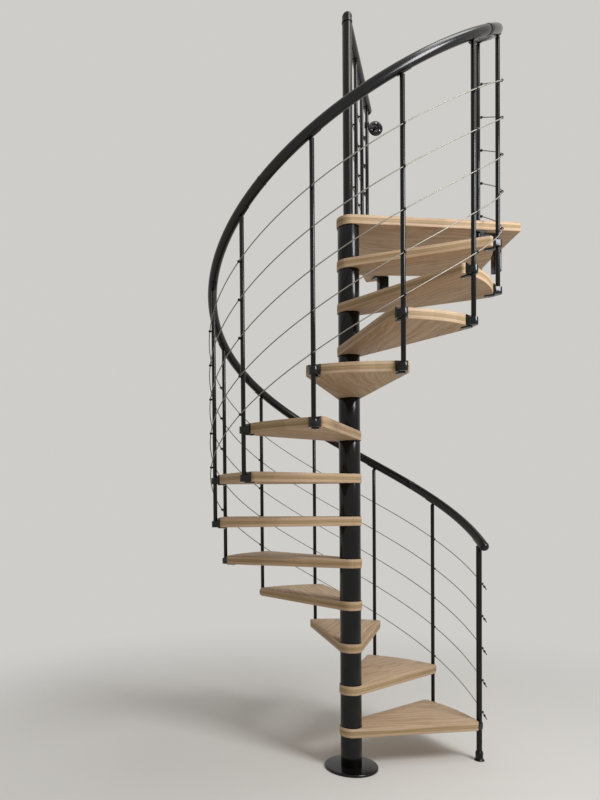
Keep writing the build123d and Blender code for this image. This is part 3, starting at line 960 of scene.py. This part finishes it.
class STAIR_OT_uprights(bpy.types.Operator):
    """Models the first post with its foot, the balusters and the landing's uprights"""

    bl_idname = "stair.uprights"
    bl_label = "Uprights"

    def execute(self, context):
        sizes = context.scene.stair_balustrade
        step_angle = context.scene.stair_flight.step_angle
        low = post_low.z
        post = bar("thick_post", sizes.post_radius, upright_top(0) - low, 0.0005, 28)
        shift(post, sizes.circle, 0, low)
        hand_over(paint(post, COAT), "black_steel", "first_post")

        # the foot's sleeve bulges a little over its flange
        neck = sizes.post_radius + 0.0042
        bore = sizes.post_radius + CLEARANCE
        foot = turned(
            "flared_foot",
            [(0, 0), (0.0248, 0), (0.0255, 0.001), (0.0250, 0.004), (0.0215, 0.0075),
             (neck, 0.0105), (neck + 0.0006, 0.018), (neck + 0.0012, 0.030),
             (neck + 0.0008, 0.041), (neck - 0.0012, 0.0475), (bore, 0.050), (bore, 0.004),
             (0, 0.004)],
            36, 0.0006, segments=3, limit=math.radians(28),
        )
        shift(foot, sizes.circle, 0, 0)
        hand_over(paint(foot, COAT), "black_steel", "first_post_foot")

        bars = []
        for number in range(1, TREADS + 1):
            angle = step_angle * number
            low = underside(number) + CUP_FLOOR
            stick = bar("stick", sizes.baluster_radius, upright_top(angle) - low, 0.0005)
            bars.append(put(stick, on_circle(angle, low)))
        hand_over(paint(joined("thin_balusters", bars), COAT), "black_steel", "balusters")

        bars = []
        feet = []
        sole = 0.004
        low = landing_high.z + sole + CLEARANCE
        bore = sizes.baluster_radius + CLEARANCE
        for reach in LANDING_REACHES:
            spot = along(reach, 0, 0)
            stick = bar("stick", sizes.baluster_radius, landing_upright_top() - low, 0.0005)
            bars.append(shift(stick, spot.x, spot.y, low))
            foot = turned(
                "foot",
                [(0, 0), (0.022, 0), (0.022, sole), (0.0145, 0.0055), (0.0145, 0.026),
                 (bore, 0.026), (bore, sole), (0, sole)],
                28, 0.0007,
            )
            feet.append(shift(foot, spot.x, spot.y, landing_high.z))
        hand_over(paint(joined("landing_sticks", bars), COAT), "black_steel", "landing_balusters")
        hand_over(paint(joined("landing_round_feet", feet), COAT), "black_steel", "landing_feet")
        return {"FINISHED"}


class STAIR_OT_clamps(bpy.types.Operator):
    """Models the clamps and cups that tie the uprights to the treads"""

    bl_idname = "stair.clamps"
    bl_label = "Clamps and cups"

    def clamp(self, context, name, radius, floor=-0.05):
        """A clamp for an upright on +X, standing on the level of its tread's underside.

        The sleeve is open right through, or closed below a floor.
        """
        thickness = context.scene.stair_flight.thickness
        middle = context.scene.stair_balustrade.circle
        sleeve = 0.018
        half = 0.026
        tab_half = 0.014
        plate = 0.005
        face = context.scene.stair_flight.outer_radius + CLEARANCE
        inner = math.sqrt(face ** 2 - half ** 2)
        rim = face + plate
        # the plate's cheeks run to the round sleeve and touch it at this angle
        touch = math.atan2(-half, rim - middle) + math.acos(
            sleeve / Vector((rim - middle, -half)).length
        )
        lower = thickness - 0.014
        body = board(
            name, (inner, -half, 0),
            [(rim, -half, 0),
             (middle + sleeve * math.cos(touch), sleeve * math.sin(touch), 0),
             ((middle, 0.0), -2 * touch, 14), (rim, half, 0), (inner, half, 0),
             (AXIS, -2 * math.asin(half / face), 4)],
            lower,
        )
        # a gusset slopes from the plate's upper edge down to the sleeve
        ledge = middle - 0.006
        edit(body)
        everything()
        bpy.ops.mesh.bisect(plane_co=(ledge, 0, 0), plane_no=(1, 0, 0))
        pick(body, "FACE", lambda side: side.normal.z > 0.9
             and side.calc_center_median().x < ledge)
        raise_by(thickness - lower)
        pick(body, "VERT", lambda spot: spot.co.z > lower + 0.001
             and abs(spot.co.x - ledge) < 1e-4)
        bpy.ops.transform.translate(value=(0, 0, lower - thickness))
        tidy(body)
        tab_end = face - 0.025
        tab = board(
            "tab", (rim, -tab_half, -plate),
            [(tab_end, -tab_half, -plate), ((tab_end, 0.0), -math.pi, 10),
             (rim, tab_half, -plate), (rim, -tab_half, -plate)],
            plate,
        )
        soften(body, 0.0009)
        soften(tab, 0.0008)
        drilled(body, radius, middle, 28, floor, 0.1)
        head = screw_head("head", 0.0048, 0.003)
        put(head, pointing((face - 0.027, 0, -plate), (0, 0, -1), (1, 0, 0)))
        side = screw_head("side", 0.0030, 0.0018)
        put(side, pointing((middle + sleeve * 0.55, sleeve * 0.82, 0.016), (0.55, 0.82, 0)))
        for piece in (body, tab, side):
            paint(piece, CAST)
        return joined(name, [body, tab, head, side])

    def execute(self, context):
        sizes = context.scene.stair_balustrade
        step_angle = context.scene.stair_flight.step_angle
        thick = self.clamp(context, "thick_clamp", sizes.post_radius)
        thin = self.clamp(context, "thin_clamp", sizes.baluster_radius)
        cup = self.clamp(context, "cup", sizes.baluster_radius, CUP_FLOOR)
        clamps = []
        cups = []
        for number in range(TREADS):
            place = about(step_angle * number, underside(number + 1))
            clamps.append(copy_to(thin if number else thick, "clamp", place))
            place = about(step_angle * (number + 1), underside(number + 1))
            cups.append(copy_to(cup, "cup", place))
        clear(thick, thin, cup)
        hand_over(joined("baluster_clamps", clamps), "black_steel", "front_clamps")
        hand_over(joined("baluster_cups", cups), "black_steel", "rear_cups")
        return {"FINISHED"}


class STAIR_OT_handrail(bpy.types.Operator):
    """Models the climbing handrail, its joints, ends and saddles, and the landing's rail"""

    bl_idname = "stair.handrail"
    bl_label = "Handrails"

    def execute(self, context):
        sizes = context.scene.stair_balustrade
        step_angle = context.scene.stair_flight.step_angle
        radius = sizes.rail_radius
        collar = radius + 0.0012
        # half of the turn that a joint's ring takes up
        half = 0.0035 / math.hypot(sizes.circle, climb(1.0))
        stops = [sizes.rail_start]
        rings = []
        for joint in RAIL_JOINTS:
            angle = math.radians(joint)
            stops += [angle - half, angle + half]
            rings.append(soften(swept("ring", collar, angle - half, angle + half), 0.0009))
        stops.append(sizes.rail_end)
        stretches = [
            soften(swept("stretch", radius, low, high), 0.0008)
            for low, high in zip(stops[0::2], stops[1::2])
        ]
        hand_over(paint(joined("climbing_rail", stretches), SHEATH), "black_steel", "handrail")
        hand_over(paint(joined("rail_rings", rings), CAST), "black_steel", "rail_joint_rings")

        caps = []
        for angle, way in ((sizes.rail_start, -1.0), (sizes.rail_end, 1.0)):
            profile = [(0, 0), (collar, 0), (collar, 0.004), *dome(radius, 0.004)]
            cap = turned("cap", profile, rim=0.0006, limit=math.radians(40))
            caps.append(put(cap, on_climb(sizes.circle, angle, rail_z(angle), way)))
        hand_over(paint(joined("rail_caps", caps), CAST), "black_steel", "rail_end_caps")

        seats = []
        thin = saddle("thin_saddle", sizes.baluster_radius)
        thick = saddle("thick_saddle", sizes.post_radius)
        seat = rail_seat("rail_seat", radius)
        for number in range(TREADS + 1):
            angle = step_angle * number
            place = on_circle(angle, upright_top(angle))
            seats.append(copy_to(thin if number else thick, "saddle", place))
            place = on_climb(sizes.circle, angle, rail_z(angle))
            seats.append(copy_to(seat, "seat", place))
        direction = polar(1.0, sizes.landing_angle)
        outward = polar(1.0, sizes.landing_angle - math.pi / 2)
        turn = Matrix.Rotation(sizes.landing_angle - math.pi / 2, 4, "Z")
        for reach in LANDING_REACHES:
            place = Matrix.Translation(along(reach, 0, landing_upright_top())) @ turn
            seats.append(copy_to(thin, "saddle", place))
            place = pointing(along(reach, 0, sizes.landing_rail_z), direction, outward)
            seats.append(copy_to(seat, "seat", place))
        clear(thin, thick, seat)
        hand_over(joined("upright_saddles", seats), "black_steel", "rail_saddles")

        # the straight rail starts inside the mast
        start = context.scene.stair_column.mast_radius * 0.6
        profile = [(0, 0), (radius, 0), *dome(radius, sizes.landing_reach - start)]
        straight = turned("straight_rail", profile)
        smooth()
        put(straight, pointing(along(start, 0, sizes.landing_rail_z), direction))
        hand_over(paint(straight, SHEATH), "black_steel", "landing_rail")
        return {"FINISHED"}


class STAIR_OT_cables(bpy.types.Operator):
    """Lays the wire ropes of the flight and the landing"""

    bl_idname = "stair.cables"
    bl_label = "Cables"

    def execute(self, context):
        circle, start, finish = cable_ends()
        route = line("route", polar(circle, start, cable_z(0, start)), [])
        draw_round(route, finish - start, 360)
        bpy.ops.object.convert(target="CURVE")
        route = bpy.context.object
        first = rope("flight_cable_1", (finish - start) * math.hypot(circle, climb(1.0)))
        modify(first, "CURVE", object=route, deform_axis="POS_Z")
        clear(route)
        spacing = context.scene.stair_balustrade.cable_spacing
        for number in range(1, CABLES):
            drop = Matrix.Translation((0, 0, -spacing * number))
            cable = copy_to(first, "flight_cable_%d" % (number + 1), drop)
            hand_over(cable, "cable_steel", "cable_%d" % (number + 1))
        hand_over(first, "cable_steel", "cable_1")

        near, far = landing_cable_ends()
        near += SOCKET_REACH
        straight = rope("straight_rope", far - near)
        cables = [
            copy_to(straight, "straight", on_landing_cable(number, near))
            for number in range(CABLES)
        ]
        clear(straight)
        hand_over(joined("landing_ropes", cables), "cable_steel", "landing_cables")
        return {"FINISHED"}


class STAIR_OT_cable_fittings(bpy.types.Operator):
    """Models the eyes on the uprights and the nuts at the ends of the cables"""

    bl_idname = "stair.cable_fittings"
    bl_label = "Cable fittings"

    def eye(self, name, radius, offset, slope):
        """An eye on an upright that stands at the origin, on the side of +X."""
        ring = turned(
            name,
            [(0.0027, -0.0045), (0.0048, -0.0045), (0.0068, -0.0018), (0.0068, 0.0018),
             (0.0048, 0.0045), (0.0027, 0.0045), (0.0027, -0.0045)],
            12,
        )
        smooth(math.radians(50))
        put(ring, pointing((offset, 0, 0), (0, math.cos(slope), math.sin(slope)), (1, 0, 0)))
        end = offset - 0.0055 - radius
        stem = turned(
            "stem",
            [(0, 0), (0.0042, 0), (0.0042, 0.0022), (0.0026, 0.0026), (0.0026, end), (0, end)],
            8,
        )
        put(stem, pointing((radius - 0.0004, 0, 0), (1, 0, 0)))
        return paint(joined(name, [ring, stem]), CAST)

    def end_nut(self, name):
        """A nut with a stud and a short tail, starting at the origin and running along Z."""
        nut = turned(
            name,
            [(0, 0), (0.0046, 0), (0.0058, 0.0012), (0.0058, 0.0105), (0.0046, 0.012), (0, 0.012)],
            6, 0.0004, segments=1,
        )
        tail = shift(bar("tail", 0.0024, 0.019, 0.0006, 10), 0, 0, 0.0118)
        return paint(joined(name, [nut, tail]), CAST)

    def execute(self, context):
        sizes = context.scene.stair_balustrade
        step_angle = context.scene.stair_flight.step_angle
        circle, start, finish = cable_ends()
        slope = math.atan2(climb(1.0), circle)
        thin = self.eye("thin_eye", sizes.baluster_radius, sizes.cable_offset, slope)
        thick = self.eye("thick_eye", sizes.post_radius, sizes.cable_offset, slope)
        nut = self.end_nut("nut")
        eyes = []
        nuts = []
        for index in range(CABLES):
            for number in range(TREADS + 1):
                angle = step_angle * number
                place = on_circle(angle, cable_z(index, angle))
                eyes.append(copy_to(thin if number else thick, "eye", place))
            for angle, way in ((start, -1.0), (finish, 1.0)):
                place = on_climb(circle, angle, cable_z(index, angle), way)
                nuts.append(copy_to(nut, "nut", place))
        hand_over(joined("flight_eyes", eyes), "black_steel", "cable_eyes")
        hand_over(joined("flight_end_nuts", nuts), "black_steel", "cable_end_fittings")

        flat = self.eye("flat_eye", sizes.baluster_radius, sizes.cable_offset, 0.0)
        socket = paint(bar("socket", 0.005, SOCKET_DEPTH + SOCKET_REACH, 0.0006, 12), CAST)
        near, far = landing_cable_ends()
        turn = Matrix.Rotation(sizes.landing_angle + math.pi / 2, 4, "Z")
        eyes = []
        nuts = []
        for index in range(CABLES):
            for reach in LANDING_REACHES:
                place = Matrix.Translation(along(reach, 0, landing_cable_z(index))) @ turn
                eyes.append(copy_to(flat, "eye", place))
            nuts.append(copy_to(nut, "nut", on_landing_cable(index, far)))
            nuts.append(copy_to(socket, "socket", on_landing_cable(index, near - SOCKET_DEPTH)))
        clear(thin, thick, nut, flat, socket)
        hand_over(joined("landing_rope_eyes", eyes), "black_steel", "landing_eyes")
        hand_over(joined("landing_rope_ends", nuts), "black_steel", "landing_end_fittings")
        return {"FINISHED"}


class STAIR_OT_wall_fixings(bpy.types.Operator):
    """Models the wall rosette, the landing's brackets and the plate under its front corner"""

    bl_idname = "stair.wall_fixings"
    bl_label = "Wall fixings"

    def leg(self, name, depth, height):
        """A hollow leg, open at its bottom, with its wall face at y = depth and its top at 0."""
        sheet = 0.006
        piece = block(name, (0, 0, -height), (LEG_WIDTH, depth, 0))
        edit(piece)
        round_edges(piece, True, 0.003)
        pick(piece, "FACE", lambda face: face.normal.z < -0.9)
        bpy.ops.mesh.inset(thickness=sheet)
        raise_by(height - sheet)
        tidy(piece)
        return paint(soften(piece, 0.0008), COAT)

    def execute(self, context):
        sizes = context.scene.stair_balustrade
        flight = context.scene.stair_flight
        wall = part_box("wall_rosette")[1].y
        centre = Vector((*ROSETTE, landing_high.z + ROSETTE_HEIGHT))
        start = along(LANDING_REACHES[-1], 0, centre.z - ROSETTE_ARM_DROP)
        # the rosette is turned with a groove round the arm
        plate_height = 0.008
        plate = turned(
            "plate",
            [(0, 0), (0.045, 0), (0.045, 0.0055), (0.0425, plate_height), (0.016, plate_height),
             (0.014, 0.0062), (0.011, 0.0062), (0.009, plate_height), (0, plate_height)],
            44, 0.0006,
        )
        put(plate, pointing((centre.x, wall, centre.z), (0, -1, 0)))
        arm = bar("arm", 0.007, (centre - start).length, 0.0008, 18)
        put(arm, pointing(start, centre - start))
        bore = sizes.baluster_radius + CLEARANCE
        sleeve = tube("sleeve", bore, 0.0145, -0.015, 0.015, 28, 0.0008)
        parts = [paint(piece, COAT) for piece in (plate, arm, shift(sleeve, *start))]
        head = screw_head("head", 0.0042, 0.0022)
        screw_circle = 0.029
        for step in range(3):
            turn = math.pi / 2 + step * 2 * math.pi / 3
            spot = centre + Vector((math.cos(turn), 0, math.sin(turn))) * screw_circle
            spot.y = wall - plate_height
            parts.append(copy_to(head, "head", pointing(spot, (0, -1, 0))))
        hand_over(joined("wall_round_plate", parts), "black_steel", "wall_rosette")

        under = landing_high.z - flight.thickness
        flange_depth = 0.054
        flange_thickness = 0.006
        flange = block("flange", (0, 0, -flange_thickness), (0.090, flange_depth, 0))
        paint(soften(flange, 0.0012), COAT)
        back_leg = shift(self.leg("back_leg", flange_depth, 0.095), 0.034, 0, 0)
        bolt = screw_head("bolt", 0.005, 0.003)
        bolts = [
            copy_to(bolt, "bolt", pointing((0.016, y, -flange_thickness), (0, 0, -1), (1, 0, 0)))
            for y in (0.018, 0.038)
        ]
        back = joined("back", [flange, back_leg, *bolts])
        shift(back, *BACK_BRACKET, under)
        clear(bolt, head)
        side_depth = 0.038
        lean = flight.right_lean - math.pi / 2
        place = Matrix.Translation((
            flight.front_corner[0] - SIDE_BRACKET_RUN * math.tan(lean),
            flight.front_corner[1] + SIDE_BRACKET_RUN,
            under,
        ))
        turn = Matrix.Rotation(lean - math.pi / 2, 4, "Z")
        side = shift(self.leg("side_leg", side_depth, 0.115), 0, -side_depth, 0)
        put(side, place @ turn)
        hand_over(joined("landing_wall_legs", [back, side]), "black_steel", "landing_brackets")

        reach = sizes.circle
        half = 0.028
        thickness = 0.005
        shelf = board(
            "corner_plate", (reach - half, -half, 0),
            [(reach + half, -half, 0), (reach + half, 0, 0), (reach + 0.125, 0, 0),
             (reach + 0.125, 0.044, 0), (reach, 0.044, 0), (reach, half, 0),
             (reach - half, half, 0), (reach - half, -half, 0)],
            thickness,
        )
        edit(shelf)
        round_edges(shelf, True, 0.003)
        soften(shelf, 0.0007)
        drilled(shelf, sizes.baluster_radius, reach, 24, -0.02, 0.05)
        shift(shelf, 0, 0, under - thickness)
        hand_over(paint(shelf, COAT), "black_steel", "landing_post_plate")
        return {"FINISHED"}


class STAIR_OT_stage(bpy.types.Operator):
    """Sets the floor, the lamps, the backdrop and the camera"""

    bl_idname = "stair.stage"
    bl_label = "Stage"

    def floor(self, settings):
        """A wide floor that takes the backdrop's tone far away, so that its edge is lost."""
        rest()
        bpy.ops.mesh.primitive_plane_add(size=60.0)
        piece = bpy.context.object
        piece.name = "floor"
        finish, tree, shader = new_finish("pale_floor")
        shader.inputs["Base Color"].default_value = settings.floor_colour
        shader.inputs["Roughness"].default_value = 0.75
        place = node(tree, "TexCoord").outputs["Object"]
        reach = node(tree, "VectorMath", operation="LENGTH", i0=place).outputs["Value"]
        far = node(tree, "MapRange", interpolation_type="SMOOTHSTEP", Value=reach,
                   From_Min=1.0, From_Max=3.8)
        far = node(tree, "Math", operation="MULTIPLY", i0=far, i1=looking(tree))
        tone = node(tree, "Emission", Color=settings.backdrop_colour, Strength=1.0)
        mix = node(tree, "MixShader", i0=far, i1=shader, i2=tone)
        tree.links.new(mix.outputs[0], tree.nodes["Material Output"].inputs["Surface"])
        piece.data.materials.append(finish)

    def world(self, settings):
        """Light at full strength from above, weaker and a little warmer towards the horizon."""
        world = bpy.data.worlds.new("studio")
        bpy.context.scene.world = world
        world.use_nodes = True
        tree = world.node_tree
        light = tree.nodes["Background"]
        way = node(tree, "TexCoord").outputs["Generated"]
        height = node(tree, "SeparateXYZ", Vector=way).outputs["Z"]
        high = node(tree, "MapRange", Value=height, From_Min=0.0, From_Max=0.85)
        glow = node(tree, "Mix", data_type="RGBA", i0=high, i6=settings.horizon_light,
                    i7=linear("#FFFFFF"))
        tree.links.new(glow.outputs[2], light.inputs["Color"])
        light.inputs["Strength"].default_value = settings.fill_strength
        seen = node(tree, "Background", Color=settings.backdrop_colour, Strength=1.0)
        mix = node(tree, "MixShader", i0=looking(tree), i1=light, i2=seen)
        tree.links.new(mix.outputs[0], tree.nodes["World Output"].inputs["Surface"])

    def lamp(self, name, kind, place, direction, power):
        """A lamp that isn't seen itself."""
        bpy.ops.object.light_add(type=kind, location=place)
        piece = bpy.context.object
        piece.name = name
        piece.rotation_euler = direction.to_track_quat("-Z", "Y").to_euler()
        piece.visible_camera = False
        piece.data.energy = power
        return piece.data

    def execute(self, context):
        settings = context.scene.stair_stage
        self.floor(settings)
        self.world(settings)
        key = self.lamp("key_lamp", "SUN", (2.9, -3.4, 4.0), Vector(KEY_WAY),
                        settings.key_strength)
        key.angle = math.radians(16.0)
        window = self.lamp("window_lamp", "AREA", WINDOW_PLACE,
                           Vector(WINDOW_AIM) - Vector(WINDOW_PLACE), settings.window_power)
        window.shape = "RECTANGLE"
        window.size = 1.1
        window.size_y = 1.5
        window.color = WINDOW_TINT
        ceiling = self.lamp("ceiling_lamp", "AREA", CEILING_PLACE, Vector((0, 0, -1)),
                            settings.ceiling_power)
        ceiling.shape = "SQUARE"
        ceiling.size = 1.6

        turn = Euler([math.radians(angle) for angle in CAMERA_TURN])
        bpy.ops.object.camera_add(location=CAMERA_PLACE, rotation=turn)
        camera = context.object
        camera.name = "front_camera"
        camera.data.sensor_fit = "AUTO"
        camera.data.sensor_width = 36.0
        camera.data.lens = settings.lens
        camera.data.shift_x, camera.data.shift_y = CAMERA_SHIFT
        camera.data.clip_end = 100.0
        context.scene.camera = camera
        context.scene.view_settings.view_transform = "Standard"
        return {"FINISHED"}


class STAIR_PT_sidebar(bpy.types.Panel):
    """Lists the stair's pieces and its sizes"""

    bl_label = "Spiral stair"
    bl_idname = "STAIR_PT_sidebar"
    bl_space_type = "VIEW_3D"
    bl_region_type = "UI"
    bl_category = "Stair"

    def draw(self, context):
        column = self.layout.column()
        for step in OPERATORS:
            column.operator(step.bl_idname)
        for name in GROUPS:
            group = getattr(context.scene, name)
            box = self.layout.box()
            for key in group.bl_rna.properties.keys():
                if key not in ("rna_type", "name"):
                    box.prop(group, key)


OPERATORS = (
    STAIR_OT_treads,
    STAIR_OT_landing,
    STAIR_OT_column,
    STAIR_OT_uprights,
    STAIR_OT_clamps,
    STAIR_OT_handrail,
    STAIR_OT_cables,
    STAIR_OT_cable_fittings,
    STAIR_OT_wall_fixings,
    STAIR_OT_stage,
)

GROUPS = {
    "stair_flight": FlightSizes,
    "stair_column": ColumnSizes,
    "stair_balustrade": BalustradeSizes,
    "stair_finishes": Finishes,
    "stair_stage": StageSettings,
}


def register():
    """Adds the sizes, the operators and the panel."""
    for name, group in GROUPS.items():
        bpy.utils.register_class(group)
        setattr(bpy.types.Scene, name, bpy.props.PointerProperty(type=group))
    for step in OPERATORS:
        bpy.utils.register_class(step)
    bpy.utils.register_class(STAIR_PT_sidebar)


def unregister():
    """Takes them away again."""
    bpy.utils.unregister_class(STAIR_PT_sidebar)
    for step in reversed(OPERATORS):
        bpy.utils.unregister_class(step)
    for name, group in GROUPS.items():
        delattr(bpy.types.Scene, name)
        bpy.utils.unregister_class(group)


def main():
    """Makes every piece in order."""
    register()
    bpy.ops.stair.treads()
    bpy.ops.stair.landing()
    bpy.ops.stair.column()
    bpy.ops.stair.uprights()
    bpy.ops.stair.clamps()
    bpy.ops.stair.handrail()
    bpy.ops.stair.cables()
    bpy.ops.stair.cable_fittings()
    bpy.ops.stair.wall_fixings()
    bpy.ops.stair.stage()
    rest()


if __name__ == "__main__":
    main()
